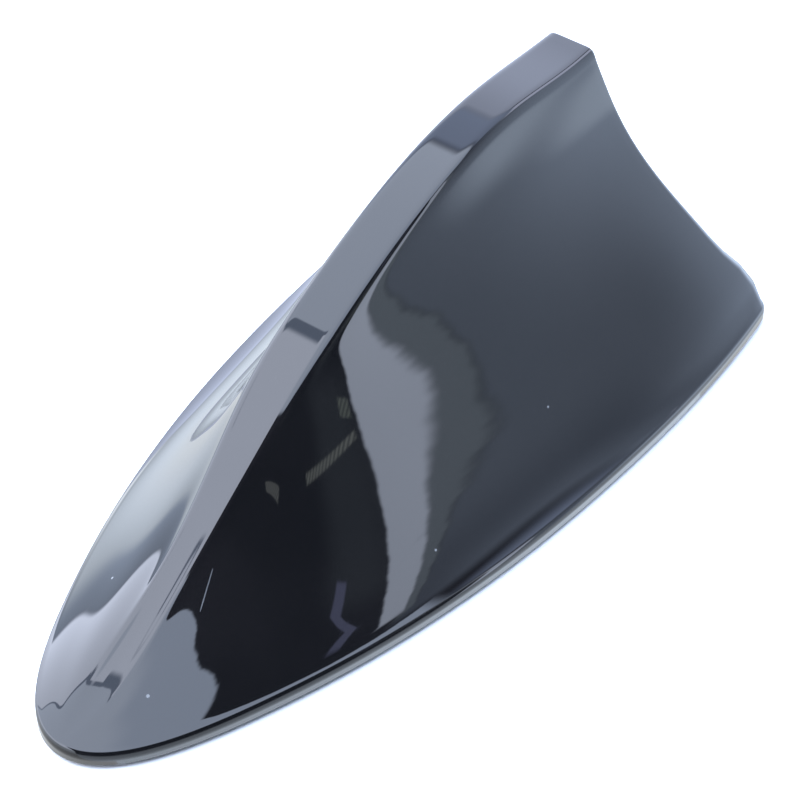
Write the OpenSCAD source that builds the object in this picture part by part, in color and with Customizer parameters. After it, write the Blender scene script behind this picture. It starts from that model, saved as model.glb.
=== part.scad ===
// Shark fin aerial for a vehicle roof: a stick-on universal type.
// A glossy one-piece cover is lofted over nine sections, and everything else hangs on its base plate.
// The tail is at X = 0, the nose at X = cover_len, Y is across and Z is up from the lower rim.

/* [Cover] */
// Length of the cover from tail to nose
cover_len = 165; // [150:1:190]
// Width of the cover at its widest
cover_w = 77; // [72:1:86]
// Height of the ridge above the lower rim
cover_h = 61; // [56:1:70]
// Wall thickness of the cover
wall = 2.2; // [1.8:0.1:2.6]
// Height of the upright rim band
rim_h = 3; // [2.6:0.1:4]
// How far the rim band stands out past the flank
rim_out = 0.5; // [0.3:0.1:0.8]
// How far the tip stands ahead of the tail edge
tail_lean = 16.5; // [10:0.5:24]
// Half width of the flat ridge at the tip
ridge_half = 5.4; // [4.8:0.1:6.5]
// Radius-like size of the crisp ridge edge
edge_soft = 2; // [1.5:0.1:2.6]
// Rounding of the rear edge at the tip
tip_round = 0.8; // [0.6:0.1:1]
// Rounding of the rear edge at the rim
corner_round = 3.5; // [2.5:0.5:6]
// Depth of the hollow in the rear face
tail_scoop = 2.4; // [1:0.2:3.5]

/* [Base] */
// Thickness of the base plate
plate_t = 2.2; // [2:0.1:2.4]
// Gap between the base plate and the cover
plate_gap = 0.25; // [0.15:0.05:0.4]
// Length of the opening for the car's own aerial foot
foot_len = 40; // [34:1:44]
// Width of the opening for the car's own aerial foot
foot_w = 22; // [18:1:26]
// Distance from the tail to the near end of that opening
foot_x = 16; // [14:1:20]
// Height of the wall round the opening
foot_wall_h = 2.4; // [1.5:0.1:4]
// Thickness of the wall round the opening
foot_wall_t = 1.4; // [1:0.1:2]
// Thickness of the adhesive foam tape
tape_t = 0.8; // [0.6:0.1:1.2]
// How far the tape stays inside the edge of the plate
tape_inset = 1.5; // [1:0.25:3]

/* [Screws] */
// Shank radius of the self-tapping screws
screw_r = 1.25; // [1:0.05:1.4]
// Head radius of the self-tapping screws
screw_head_r = 2.6; // [2.2:0.1:2.8]
// Length of the cover screws under the head
screw_len = 7; // [6:0.5:7.5]
// Radius of the screw bosses
boss_r = 3.2; // [3:0.1:3.5]
// Distance of the rear bosses from the tail
boss_rear_x = 28; // [25:1:30]
// Distance of the rear bosses in from the widest edge
boss_rear_in = 15.5; // [14:0.5:17]
// Distance of the front bosses from the nose
boss_front_back = 52; // [50:1:57]
// Distance of the front bosses in from the widest edge
boss_front_in = 21; // [20:0.25:22]

/* [Board] */
// Length of the circuit board
board_len = 42; // [40:1:44]
// Width of the circuit board
board_w = 24; // [23:0.5:25]
// Thickness of the circuit board
board_t = 1.2; // [1:0.1:1.6]
// Distance from the tail to the near end of the board
board_x = 68; // [66:1:70]
// Height of the board's underside above the base plate
standoff_h = 3.6; // [3:0.1:4.5]
// Length of the shield can
can_len = 15; // [12:0.5:17]
// Width of the shield can
can_w = 13; // [11:0.5:14]
// Height of the shield can
can_h = 3; // [2.4:0.1:4]
// Distance of the shield can's middle from the near end of the board
can_dx = 27; // [25:0.5:28]

/* [Aerial] */
// Radius of the former that carries the coil
former_r = 2; // [1.8:0.1:2.3]
// Gap between the top of the former and the underside of the ridge
former_gap = 6; // [5:0.5:9]
// Distance of the former from the near end of the board
former_dx = 7; // [6:0.5:8]
// Radius of the coil's wire
wire_r = 0.4; // [0.3:0.05:0.5]
// Number of turns in the coil
coil_turns = 11; // [8:1:14]
// Thickness of the stamped top plate
top_t = 0.5; // [0.4:0.1:0.8]
// Least height of the stamped top plate, at its front end
top_low_h = 3; // [2:0.5:5]
// Length of the stamped top plate
top_len = 52; // [40:1:56]
// Thickness of the foam pad between the top plate and the ridge
pad_t = 1.5; // [1:0.1:2]

/* [Hidden] */

$fn = 24;
screw_sides = 16;     // flats round a screw and a small hole
fit_gap = 0.1;        // clearance round a piece that is pushed into place
loft_rows = 23;       // steps from the tail to the nose
edge_rows = 3;        // steps round the rear edge
skin_drop = 2;        // how far the cavity body runs out below the rim

// Sections from tail to nose: place along the length, half width, height and ridge half width,
// each as a share of the cover's size, then the softness of the ridge edge and the lean of the tip
stations = [
    [0.00, 0.96, 0.97, 0.87, 1.0, 1.00],
    [0.06, 1.00, 0.97, 0.94, 1.0, 0.95],
    [0.17, 1.03, 1.02, 0.83, 1.0, 0.82],
    [0.33, 1.01, 0.965, 0.88, 1.0, 0.62],
    [0.50, 0.945, 0.81, 0.90, 1.0, 0.42],
    [0.647, 0.825, 0.63, 0.96, 1.0, 0.20],
    [0.807, 0.63, 0.265, 0.35, 0.43, 0.00]];
// Nose rounding: half width, length and rise of the last section before the point
nose_half = 10;
nose_run = 10.7;
nose_rise = 3.1;

// Shape of the flank between ridge and rim: upright at the tail, hollow with a wide foot along
// the middle and full at the nose. Each pair is a share of the way out and a share of the height
flank_tail = [[0.06, 0.90], [0.25, 0.53], [0.84, 0.21]];
flank_mid = [[0.14, 0.72], [0.40, 0.40], [0.80, 0.03]];
flank_nose = [[0.32, 0.75], [0.61, 0.44], [0.88, 0.21]];
// How much of each of the three every section takes
flank_mix = [[1, 0, 0], [1, 0, 0], [0.5, 0.5, 0], [0, 1, 0], [0, 1, 0], [0, 0.7, 0.3], [0, 0, 1]];

// Where the sections are cut across, from the ridge line to the rim
cuts = [0, 0.12, 0.22, 0.27, 0.305, 1/3, 0.365, 0.41, 0.47, 0.54, 0.62, 0.70, 0.78, 0.86, 0.93, 1];
top_cuts = 5;         // the cut that runs along the ridge edge
last_cut = len(cuts) - 1;
cut_cols = 2*last_cut + 1;

// Spline weights, with even knots and fixed ends
function knot(k, n) = max(0, min(1, (k - 3)/(n - 3)));
function ratio(a, b) = b > 0 ? a/b : 0;
function weight(i, p, u, n) = p == 0
    ? (u >= knot(i, n) && u < knot(i + 1, n) ? 1 : 0)
    : ratio(u - knot(i, n), knot(i + p, n) - knot(i, n))*weight(i, p - 1, u, n)
        + ratio(knot(i + p + 1, n) - u, knot(i + p + 1, n) - knot(i + 1, n))*weight(i + 1, p - 1, u, n);
function weights(u, n) = [for (i = [0:n - 1]) weight(i, 3, min(u, 1 - 1e-9), n)];
cut_weights = [for (v = cuts) weights(v, 9)];

// Control net of a skin that lies the depth t under the outer face
function shape_pair(k, j) = flank_mix[k]*[flank_tail[j], flank_mid[j], flank_nose[j]];
function lean_at(z, h, t) = 1 - pow(1 - max(0, min(1, (z - rim_h + t/3)/(h - rim_h + t/3))), 1.5);
function tail_step(k) = k == 0 ? 1 : k == 1 ? 0.5 : 0;
function section(k, t) = let (
    s = stations[k],
    half = s[1]*(cover_w/2 - rim_out) - t,
    h = s[2]*cover_h - t,
    r = max(0.6, s[3]*ridge_half - 0.85*t),
    e = min(r, s[4]*edge_soft*(t > 0 ? 0.6 : 1)),
    z0 = rim_h - t/3,
    x0 = rim_out + s[0]*(cover_len - 2*rim_out) + tail_step(k)*(t > 0 ? t + 0.75*tail_scoop : 0),
    side = [for (j = [0:2]) let (p = shape_pair(k, j)) [r + p[0]*(half - r), z0 + (p[1] - 0.012*t)*(h - z0)]])
    [for (p = concat([[0, h], [(r - e)/2, h], [r - e, h], [r, h], [r + 0.3*e*s[4], h - e]],
        side, [[half, z0]])) [x0 + s[5]*tail_lean*lean_at(p[1], h, t), p[0], p[1]]];
function nose_section(t) = [for (j = [0:8]) let (g = j/8, up = 1 - g*g)
    [cover_len - rim_out - 1.1*t - nose_run*up, (nose_half - 0.4*t)*g, rim_h - t/3 + (nose_rise - 0.3*t)*up]];
function nose_point(t) = [cover_len - rim_out - 1.1*t, 0, rim_h - t/3];
function net(t) = concat([for (k = [0:6]) section(k, t)], [nose_section(t)],
    [[for (j = [0:8]) nose_point(t)]]);

// A point of the skin, given the row's curve along the net
function row_curve(n, u) = let (w = weights(u, 9)) [for (j = [0:8]) w*[for (i = [0:8]) n[i][j]]];
function rear_round(z, t) = max(0.3, tip_round + (corner_round - tip_round)
    *pow(max(0, 1 - (z - rim_h)/(cover_h - rim_h)), 3) - 0.6*t);

// The rear edge: where the flank stops, the sharp corner and where the rear face starts
function rear_sharp(n) = [for (w = cut_weights) w*n[0]];
function rear_start(n, t) = let (n1 = row_curve(n, 0.02), k0 = rear_sharp(n)) [for (j = [0:last_cut])
    let (d = cut_weights[j]*n1 - k0[j]) k0[j] + d*rear_round(k0[j][2], t)/norm(d)];
function rear_in(k0, t) = [for (j = [0:last_cut]) let (
    a = k0[max(0, j - 1)], b = k0[min(last_cut, j + 1)],
    d = [b[1] - a[1], b[2] - a[2]]/norm([b[1] - a[1], b[2] - a[2]]),
    q = rear_round(k0[j][2], t),
    in_y = j < top_cuts ? k0[j][1]*(1 - q/k0[top_cuts][1]) : max(0, k0[j][1] + q*d[1]))
    [k0[j][0], in_y, k0[j][2] - q*d[0]*min(1, (last_cut - j)/3)]];

// All points of a skin: the loft, its nose point, the rear edge, the rear face and the rim band
function both(half_row) = [for (j = [-last_cut:last_cut]) let (p = half_row[abs(j)])
    [p[0], sign(j)*p[1], p[2]]];
function loft_row(n, i, start) = i == 0 ? start
    : let (u = 1 - pow(1 - i/loft_rows, 1.6), c = row_curve(n, u), s = pow(1 - u, 6))
        [for (j = [0:last_cut]) cut_weights[j]*c + s*(start[j] - cut_weights[j]*n[0])*0.6];
function edge_row(a, k, b, f) = [for (j = [0:last_cut])
    a[j]*(1 - f)*(1 - f) + k[j]*2*f*(1 - f) + b[j]*f*f];
function rear_row(b, m) = let (p = b[top_cuts + m], q = m/(last_cut - top_cuts))
    [for (k = [-(top_cuts - 1):top_cuts - 1]) let (s = sign(k)*b[abs(k)][1]/b[top_cuts][1])
        [p[0] + tail_scoop*(1 - s*s)*sin(180*min(1, q*1.05 + 0.02)) + 0.6*q*(1 - s*s), s*p[1], p[2]]];
function skin_body(t) = let (n = net(t), k0 = rear_sharp(n), a = rear_start(n, t), b = rear_in(k0, t))
    concat([for (i = [0:loft_rows - 1]) each both(loft_row(n, i, a))], [nose_point(t)],
        [for (f = [1:edge_rows]) each both(edge_row(a, k0, b, f/edge_rows))],
        [for (m = [1:last_cut - top_cuts]) each rear_row(b, m)]);

// Where each point sits in that list
nose_id = loft_rows*cut_cols;
edge_id = nose_id + 1;
rear_id = edge_id + edge_rows*cut_cols;
rear_cols = 2*top_cuts - 1;
rear_rows = last_cut - top_cuts;
body_count = rear_id + rear_rows*rear_cols;
function at_loft(i, j) = i*cut_cols + j + last_cut;
function at_edge(f, j) = f == 0 ? at_loft(0, j) : edge_id + (f - 1)*cut_cols + j + last_cut;
function at_rear(m, k) = m == 0 ? at_edge(edge_rows, k)
    : abs(k) == top_cuts ? at_edge(edge_rows, sign(k)*(top_cuts + m))
    : rear_id + (m - 1)*rear_cols + k + top_cuts - 1;
rim_ids = concat([nose_id], [for (i = [loft_rows - 1:-1:0]) at_loft(i, last_cut)],
    [for (f = [1:edge_rows]) at_edge(f, last_cut)],
    [for (k = [top_cuts - 1:-1:-(top_cuts - 1)]) at_rear(rear_rows, k)],
    [for (f = [edge_rows:-1:1]) at_edge(f, -last_cut)],
    [for (i = [0:loft_rows - 1]) at_loft(i, -last_cut)]);
rim_count = len(rim_ids);
function at_rim(d, r) = let (q = (r + rim_count)%rim_count)
    d == 0 ? rim_ids[q] : body_count + (d - 1)*rim_count + q;

// The rim band: the ring of points is pushed outward in plan and dropped in steps
function out_dir(ring, r) = let (a = ring[(r + rim_count - 1)%rim_count], b = ring[(r + 1)%rim_count])
    [a[1] - b[1], b[0] - a[0], 0]/norm([b[0] - a[0], b[1] - a[1]]);
function rim_rows(ring, steps) = [for (s = steps) for (r = [0:rim_count - 1])
    [ring[r][0], ring[r][1], 0] - s[0]*out_dir(ring, r) + [0, 0, s[1]]];
function skin_points(t, steps) = let (body = skin_body(t))
    concat(body, rim_rows([for (i = rim_ids) body[i]], steps));

function quad(a, b, c, d) = [[a, b, c], [a, c, d]];
function skin_faces(n_steps) = concat(
    [for (i = [0:loft_rows - 2]) for (j = [-last_cut:last_cut - 1])
        each quad(at_loft(i, j), at_loft(i, j + 1), at_loft(i + 1, j + 1), at_loft(i + 1, j))],
    [for (j = [-last_cut:last_cut - 1])
        [at_loft(loft_rows - 1, j), at_loft(loft_rows - 1, j + 1), nose_id]],
    [for (f = [0:edge_rows - 1]) for (j = [-last_cut:last_cut - 1])
        each quad(at_edge(f + 1, j), at_edge(f + 1, j + 1), at_edge(f, j + 1), at_edge(f, j))],
    [for (m = [0:rear_rows - 1]) for (k = [-top_cuts:top_cuts - 1])
        each quad(at_rear(m + 1, k), at_rear(m + 1, k + 1), at_rear(m, k + 1), at_rear(m, k))],
    [for (d = [0:n_steps - 1]) for (r = [0:rim_count - 1])
        each quad(at_rim(d, r), at_rim(d, r + 1), at_rim(d + 1, r + 1), at_rim(d + 1, r))],
    [[for (r = [0:rim_count - 1]) at_rim(n_steps, r)]]);

rim_steps = [[0.6*rim_out, rim_h - 0.45], [rim_out, rim_h - 1.3], [rim_out, 0]];
cavity_steps = [[0, rim_h - wall/3 - 0.4], [0, -skin_drop]];
module outer_body() {
    polyhedron(skin_points(0, rim_steps), skin_faces(len(rim_steps)), convexity = 8);
}
module cavity_body() {
    polyhedron(skin_points(wall, cavity_steps), skin_faces(len(cavity_steps)), convexity = 8);
}

// Inner outline of the cover at the rim, which the base plate and the tape follow
cavity_ring = let (body = skin_body(wall)) [for (i = rim_ids) [body[i][0], body[i][1]]];
function shrink(ring, d) = [for (i = [0:len(ring) - 1]) let (
    a = ring[(i + len(ring) - 1)%len(ring)], b = ring[(i + 1)%len(ring)],
    q = [a[1] - b[1], b[0] - a[0]]/norm(b - a)) ring[i] + d*q];

// Underside of the ridge at a place along the length, for what follows it
ridge_net = [for (row = net(wall)) row[0]];
function ridge_at(u) = weights(u, 9)*ridge_net;
function under_ridge(x, lo = 0, hi = 1, n = 14) = let (mid = (lo + hi)/2, p = ridge_at(mid))
    n == 0 ? p[2] : p[0] < x ? under_ridge(x, mid, hi, n - 1) : under_ridge(x, lo, mid, n - 1);

module place() {
    translate([-cover_len/2, 0, tape_t]) children();
}

// Heights of the stack, from the rim up
pad_top = plate_t + 1.2;
head_seat = 1.7;
board_z = plate_t + standoff_h;
board_top = board_z + board_t;
former_x = board_x + former_dx;
former_h = under_ridge(former_x) - former_gap - board_top;
opening_mid = foot_x + foot_len/2;
boss_rear_y = cover_w/2 - boss_rear_in;
boss_front_x = cover_len - boss_front_back;
boss_front_y = cover_w/2 - boss_front_in;
boss_places = [[boss_rear_x, boss_rear_y], [boss_rear_x, -boss_rear_y],
    [boss_front_x, boss_front_y], [boss_front_x, -boss_front_y]];
pilot_r = screw_r + 0.05;
hole_in = 3.5;        // board holes, in from the board's edges
board_holes = [[board_x + hole_in, -board_w/2 + hole_in],
    [board_x + board_len - hole_in, board_w/2 - hole_in]];
grommet_r = 3.4;
cord_r = 1.4;
grommet_at = [foot_x + foot_len + 2.2*grommet_r, -foot_w/2 - 2];
clamp_at = [board_x + board_len/3, -board_w/2 - 5];
rib_t = 1.4;
rib_z = 0.2*cover_h;  // the ribs start this far above the rim
rib_places = [foot_x - 6, boss_front_x + boss_r + 6];

module rounded_plan(len_x, len_y, r) {
    square([len_x - 2*r, len_y], center = true);
    square([len_x, len_y - 2*r], center = true);
    for (sx = [-1, 1]) for (sy = [-1, 1])
        translate([sx*(len_x/2 - r), sy*(len_y/2 - r)]) circle(r);
}

module cover() {
    color("#20242c") place() difference() {
        outer_body();
        difference() {
            cavity_body();
            for (p = boss_places) translate([p[0], p[1], pad_top]) difference() {
                cylinder(h = cover_h, r = boss_r);
                translate([0, 0, -1]) cylinder(h = screw_len + 1, r = pilot_r, $fn = screw_sides);
            }
            for (x = rib_places) translate([x, -cover_w/2, rib_z]) cube([rib_t, cover_w, cover_h]);
        }
    }
}

module foot_plan(grow) {
    translate([opening_mid, 0]) rounded_plan(foot_len + 2*grow, foot_w + 2*grow, 4 + grow);
}

seal_in = 2;
seal_w = 2.4;
groove_d = 0.8;
module base_plate() {
    color("#2b2d30") place() difference() {
        union() {
            linear_extrude(plate_t) polygon(shrink(cavity_ring, plate_gap));
            for (p = boss_places) translate([p[0], p[1], 0]) cylinder(h = pad_top - fit_gap, r = boss_r);
            linear_extrude(plate_t + foot_wall_h) foot_plan(foot_wall_t);
            for (p = board_holes) translate([p[0], p[1], 0]) cylinder(h = board_z, r = 2.6);
            translate([clamp_at[0], clamp_at[1], 0]) cylinder(h = plate_t + 2.4, r = 2.4);
            for (y = [-6, 6]) translate([board_x + board_len/2, y, 0]) cylinder(h = board_z, r = 1.5);
        }
        translate([0, 0, -1]) linear_extrude(plate_t + foot_wall_h + 2) foot_plan(0);
        translate([0, 0, -1]) linear_extrude(1 + groove_d) difference() {
            foot_plan(seal_in + seal_w);
            foot_plan(seal_in);
        }
        for (p = boss_places) translate([p[0], p[1], -1]) {
            cylinder(h = pad_top + 2, r = screw_r + 0.25, $fn = screw_sides);
            cylinder(h = 1 + head_seat, r = screw_head_r + 0.2);
        }
        for (p = board_holes) translate([p[0], p[1], plate_t - 1])
            cylinder(h = board_z, r = pilot_r, $fn = screw_sides);
        translate([clamp_at[0], clamp_at[1], 0.6]) cylinder(h = board_z, r = pilot_r, $fn = screw_sides);
        translate([grommet_at[0], grommet_at[1], -1]) cylinder(h = plate_t + 2, r = grommet_r);
    }
}

module foot_seal() {
    color("#15161a") place() translate([0, 0, -tape_t]) linear_extrude(tape_t + groove_d) difference() {
        foot_plan(seal_in + seal_w);
        foot_plan(seal_in);
    }
}

module adhesive_tape() {
    color("#5a5c5e") place() translate([0, 0, -tape_t]) linear_extrude(tape_t) difference() {
        polygon(shrink(cavity_ring, plate_gap + tape_inset));
        foot_plan(seal_in + seal_w + 1.2);
        translate(grommet_at) circle(grommet_r + 2.2);
    }
}

module circuit_board() {
    color("#2f6b46") place() translate([0, 0, board_z]) difference() {
        translate([board_x, -board_w/2, 0]) cube([board_len, board_w, board_t]);
        for (p = board_holes) translate([p[0], p[1], -1]) cylinder(h = board_t + 2, r = screw_r + 0.2);
        translate([former_x + coil_r, 0, -1]) cylinder(h = board_t + 2, r = wire_r + 0.15);
    }
}

can_at = [board_x + can_dx, -3];
can_size = [can_len, can_w, can_h];
can_t = 0.3;
module shield_can() {
    color("#b8bcc2") place() translate([can_at[0], can_at[1], board_top]) difference() {
        translate([-can_size[0]/2, -can_size[1]/2, 0]) cube(can_size);
        translate([-can_size[0]/2 + can_t, -can_size[1]/2 + can_t, -1])
            cube([can_size[0] - 2*can_t, can_size[1] - 2*can_t, can_size[2] + 1 - can_t]);
        for (x = [-1, 0, 1]) for (y = [-1, 0, 1])
            translate([x*can_len/4, y*can_w/4, can_size[2] - 1]) cylinder(h = 2, r = 0.6, $fn = screw_sides);
    }
}

module chip_body(size, pins, pin_w) {
    translate([-size[0]/2, -size[1]/2, 0.1]) cube([size[0], size[1], size[2]]);
    for (i = [0:pins - 1]) for (s = [-1, 1])
        translate([(i - (pins - 1)/2)*size[0]/pins - pin_w/2, s*size[1]/2 - (s > 0 ? 0 : 0.8), 0])
            cube([pin_w, 0.8, 0.35]);
}

module amplifier_chip() {
    color("#1c1c1e") place() translate([can_at[0], can_at[1], board_top]) chip_body([5, 4, 1.4], 4, 0.45);
}

module tuning_coil() {
    bobbin_r = 2.2;
    color("#9a5b2c") place() translate([board_x + 15.5, 5.5, board_top]) rotate_extrude() polygon([
        [0, 0], [bobbin_r + 0.5, 0], [bobbin_r + 0.5, 0.7], [bobbin_r, 0.7], [bobbin_r, 2.6],
        [bobbin_r + 0.5, 2.6], [bobbin_r + 0.5, 3.3], [0, 3.3]]);
}

module filter_capacitor() {
    can_r = 2;
    color("#8f9399") place() translate([board_x + 37, 0.5, board_top]) union() {
        translate([-2.15, -2.15, 0]) cube([4.3, 4.3, 0.9]);
        translate([0, 0, 0.9]) rotate_extrude() polygon([[0, 0], [can_r, 0], [can_r, 0.5],
            [can_r - 0.2, 0.8], [can_r, 1.1], [can_r, 3.3], [can_r - 0.25, 3.6], [0, 3.6]]);
    }
}

module coupling_capacitor() {
    color("#b89b72") place() translate([board_x + 14, -7, board_top]) union() {
        translate([-0.65, -0.6, 0]) cube([1.3, 1.2, 0.9]);
        for (s = [-1, 1]) translate([s*0.85 - 0.25, -0.62, 0]) cube([0.5, 1.24, 0.92]);
    }
}

module surge_diode() {
    color("#26262a") place() translate([board_x + 14, -1.5, board_top]) chip_body([2.9, 1.4, 1], 2, 0.4);
}

coil_r = former_r + wire_r + 0.08;
foot_t = 1;
top_seat = 3;
coil_z = board_top + foot_t;
coil_top = board_top + former_h - top_seat;
module coil_former() {
    color("#d9d6cc") place() difference() {
        translate([former_x, 0, board_top]) union() {
            cylinder(h = former_h, r = former_r);
            cylinder(h = foot_t, r = 4.2);
        }
        translate([former_x + coil_r, 0, board_top - 1]) cylinder(h = foot_t + 2, r = wire_r + 0.15);
        translate([former_x - 6, -top_t/2, board_top + former_h - top_seat])
            cube([12, top_t, top_seat + 1]);
    }
}

// The coil: a round wire swept along a helix, with a straight lead at each end
coil_steps = 12;
wire_sides = 6;
wire_ends = wire_r*1.02;
coil_rise = coil_top - wire_r - coil_z - 2*wire_ends;
function helix_at(i) = let (q = i/(coil_turns*coil_steps), a = 360*coil_turns*q)
    [coil_r*cos(a), coil_r*sin(a), wire_ends + coil_rise*q];
function wire_ring(i) = let (a = 360*i/coil_steps) [for (s = [0:wire_sides - 1])
    let (b = 360*s/wire_sides, c = helix_at(i)) c + wire_r*[cos(b)*cos(a), cos(b)*sin(a), sin(b)]];
module aerial_coil() {
    n = coil_turns*coil_steps;
    color("#b87333") place() translate([former_x, 0, coil_z]) {
        polyhedron([for (i = [0:n]) each wire_ring(i)], concat(
            [[for (s = [wire_sides - 1:-1:0]) s]],
            [for (i = [0:n - 1]) for (s = [0:wire_sides - 1]) let (s2 = (s + 1)%wire_sides)
                each quad(i*wire_sides + s, i*wire_sides + s2,
                    (i + 1)*wire_sides + s2, (i + 1)*wire_sides + s)],
            [[for (s = [0:wire_sides - 1]) n*wire_sides + s]]), convexity = 10);
        translate([coil_r, 0, -foot_t - board_t - 0.4]) cylinder(h = foot_t + board_t + 0.4 + wire_ends,
            r = wire_r*0.9, $fn = 16);
        translate([coil_r, 0, wire_ends + coil_rise]) cylinder(h = coil_top - coil_z - wire_ends
            - coil_rise, r = wire_r*0.9, $fn = 16);
    }
}

// Upper edge of the top plate: it follows the ridge, under the foam pad
ridge_gap = 0.35;     // left between the pad and the ridge, which bulges less between its rows
pad_gap = pad_t + ridge_gap;
top_from = former_x - top_len*0.72;
top_steps = 10;
top_low = board_top + former_h - top_seat;
function top_edge(x) = under_ridge(x) - pad_gap;
module top_plate() {
    xs = [for (i = [0:top_steps]) top_from + top_len*i/top_steps];
    color("#c3c6ca") place() translate([0, top_t/2, 0]) rotate([90, 0, 0]) linear_extrude(top_t)
        polygon(concat([for (x = xs) [x, top_edge(x)]],
            [for (i = [top_steps:-1:0]) [xs[i], min(top_low, top_edge(xs[i]) - top_low_h)]]));
}

pad_steps = 6;        // the pad covers this many steps of the plate's edge, from its second
pad_w = 3;
module ridge_pad() {
    xs = [for (i = [1:pad_steps + 1]) top_from + top_len*i/top_steps];
    color("#3b3b3d") place() translate([0, pad_w/2, 0]) rotate([90, 0, 0]) linear_extrude(pad_w)
        polygon(concat([for (x = xs) [x, top_edge(x) + pad_t]],
            [for (i = [pad_steps:-1:0]) [xs[i], top_edge(xs[i])]]));
}

module cable_grommet() {
    lip = 1.1;
    color("#17181b") place() translate([grommet_at[0], grommet_at[1], 0]) rotate_extrude() polygon([
        [cord_r, 0], [grommet_r, 0], [grommet_r, plate_t], [grommet_r + lip, plate_t],
        [grommet_r + lip, plate_t + 0.8], [grommet_r, plate_t + 1.8], [cord_r, plate_t + 1.8]]);
}

clamp_w = 4;
clamp_z = plate_t + 2.4;
module cable_clamp() {
    color("#3d3f44") place() translate([clamp_at[0], clamp_at[1], clamp_z]) difference() {
        union() {
            translate([-3, -clamp_w/2, 0]) cube([6, clamp_w, 1]);
            translate([-8, 0, 0]) rotate([90, 0, 0]) translate([3, -0.6, -clamp_w/2])
                cylinder(h = clamp_w, r = cord_r + 1);
        }
        translate([-8, 0, 0]) rotate([90, 0, 0]) translate([3, -0.6, -clamp_w/2 - 1])
            cylinder(h = clamp_w + 2, r = cord_r);
        translate([-8, -clamp_w, -4]) cube([5.4, 2*clamp_w, 3.4]);
        translate([0, 0, -1]) cylinder(h = 3, r = screw_r + 0.2);
    }
}

strip_t = 0.4;
strip_w = 5;
module earth_strip() {
    hole = board_holes[0];
    reach = foot_x + foot_len + foot_wall_t + 1;
    color("#c9a24a") place() difference() {
        translate([0, hole[1] + strip_w/2, 0]) rotate([90, 0, 0]) linear_extrude(strip_w) polygon([
            [hole[0] + 2.5, board_top], [hole[0] + 2.5, board_top + strip_t],
            [board_x - 1, board_top + strip_t], [board_x - 4, plate_t + 3],
            [reach - 1, plate_t + 1.4], [reach - 1, plate_t + 1.4 - strip_t],
            [board_x - 4 + strip_t, plate_t + 3 - strip_t], [board_x - 1 + strip_t/2, board_top]]);
        translate([hole[0], hole[1], board_top - 1]) cylinder(h = 3, r = screw_r + 0.1);
    }
}

module screw(len, head_h) {
    $fn = screw_sides;
    difference() {
        union() {
            translate([0, 0, -head_h]) cylinder(h = head_h, r = screw_head_r);
            cylinder(h = len - 1, r = screw_r);
            translate([0, 0, len - 1]) cylinder(h = 1, r1 = screw_r, r2 = screw_r*0.4);
        }
        for (a = [0, 90]) rotate(a) translate([-1.5, -0.35, -head_h - 0.2]) cube([3, 0.7, 1]);
    }
}
module cover_screw(i) {
    color("#8d9096") place() translate([boss_places[i][0], boss_places[i][1], head_seat])
        screw(screw_len, head_seat - 0.2);
}
module cover_screw_rear_left() {
    cover_screw(0);
}
module cover_screw_rear_right() {
    cover_screw(1);
}
module cover_screw_front_left() {
    cover_screw(2);
}
module cover_screw_front_right() {
    cover_screw(3);
}
module board_screw(i, seat) {
    color("#8d9096") place() translate([board_holes[i][0], board_holes[i][1], seat])
        rotate([180, 0, 0]) screw(4.4, 1.2);
}
module board_screw_rear() {
    board_screw(0, board_top + strip_t);
}
module board_screw_front() {
    board_screw(1, board_top);
}
module clamp_screw() {
    color("#8d9096") place() translate([clamp_at[0], clamp_at[1], clamp_z + 1])
        rotate([180, 0, 0]) screw(4, 1.2);
}

cover();
base_plate();
foot_seal();
adhesive_tape();
circuit_board();
shield_can();
amplifier_chip();
tuning_coil();
filter_capacitor();
coupling_capacitor();
surge_diode();
coil_former();
aerial_coil();
top_plate();
ridge_pad();
cable_grommet();
cable_clamp();
earth_strip();
cover_screw_rear_left();
cover_screw_rear_right();
cover_screw_front_left();
cover_screw_front_right();
board_screw_rear();
board_screw_front();
clamp_screw();
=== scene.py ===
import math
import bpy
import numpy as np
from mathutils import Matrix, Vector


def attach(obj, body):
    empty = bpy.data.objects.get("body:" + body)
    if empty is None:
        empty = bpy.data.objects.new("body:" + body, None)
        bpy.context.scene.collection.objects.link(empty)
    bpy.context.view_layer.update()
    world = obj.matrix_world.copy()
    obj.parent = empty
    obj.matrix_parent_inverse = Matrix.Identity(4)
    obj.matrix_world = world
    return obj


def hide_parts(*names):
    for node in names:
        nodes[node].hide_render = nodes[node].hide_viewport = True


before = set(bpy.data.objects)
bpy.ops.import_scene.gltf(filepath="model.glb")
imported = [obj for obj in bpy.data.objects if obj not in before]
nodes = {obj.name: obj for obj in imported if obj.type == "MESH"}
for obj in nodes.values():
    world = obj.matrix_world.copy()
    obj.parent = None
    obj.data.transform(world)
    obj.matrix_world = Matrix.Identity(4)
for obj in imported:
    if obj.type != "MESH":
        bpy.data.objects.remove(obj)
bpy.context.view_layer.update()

# %% [markdown]
# # Shark fin aerial
# A stick-on roof aerial for a car. What the eye sees is one glossy moulded cover: a flat ridge that
# falls to a low nose, hollow flanks and a scooped tail. Under it lie a base plate, a small board, a
# coil and a stamped plate. The frame holds the true solids, and this script gives them their looks.

MM = 0.001

# %% [markdown]
# ## The cover's sizes
# The cover is a lofted moulding. It could be carved or subdivided by hand, but its glossy surface
# shows every dent, so it is better worked out as one smooth spline surface. The sizes are the ones
# that the solid was made from, in millimetres, with the tail at x = 0 and the lower rim at z = 0. Only
# the height is 0.06 mm less, so that the rounder ridge stays inside the solid's box.

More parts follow.
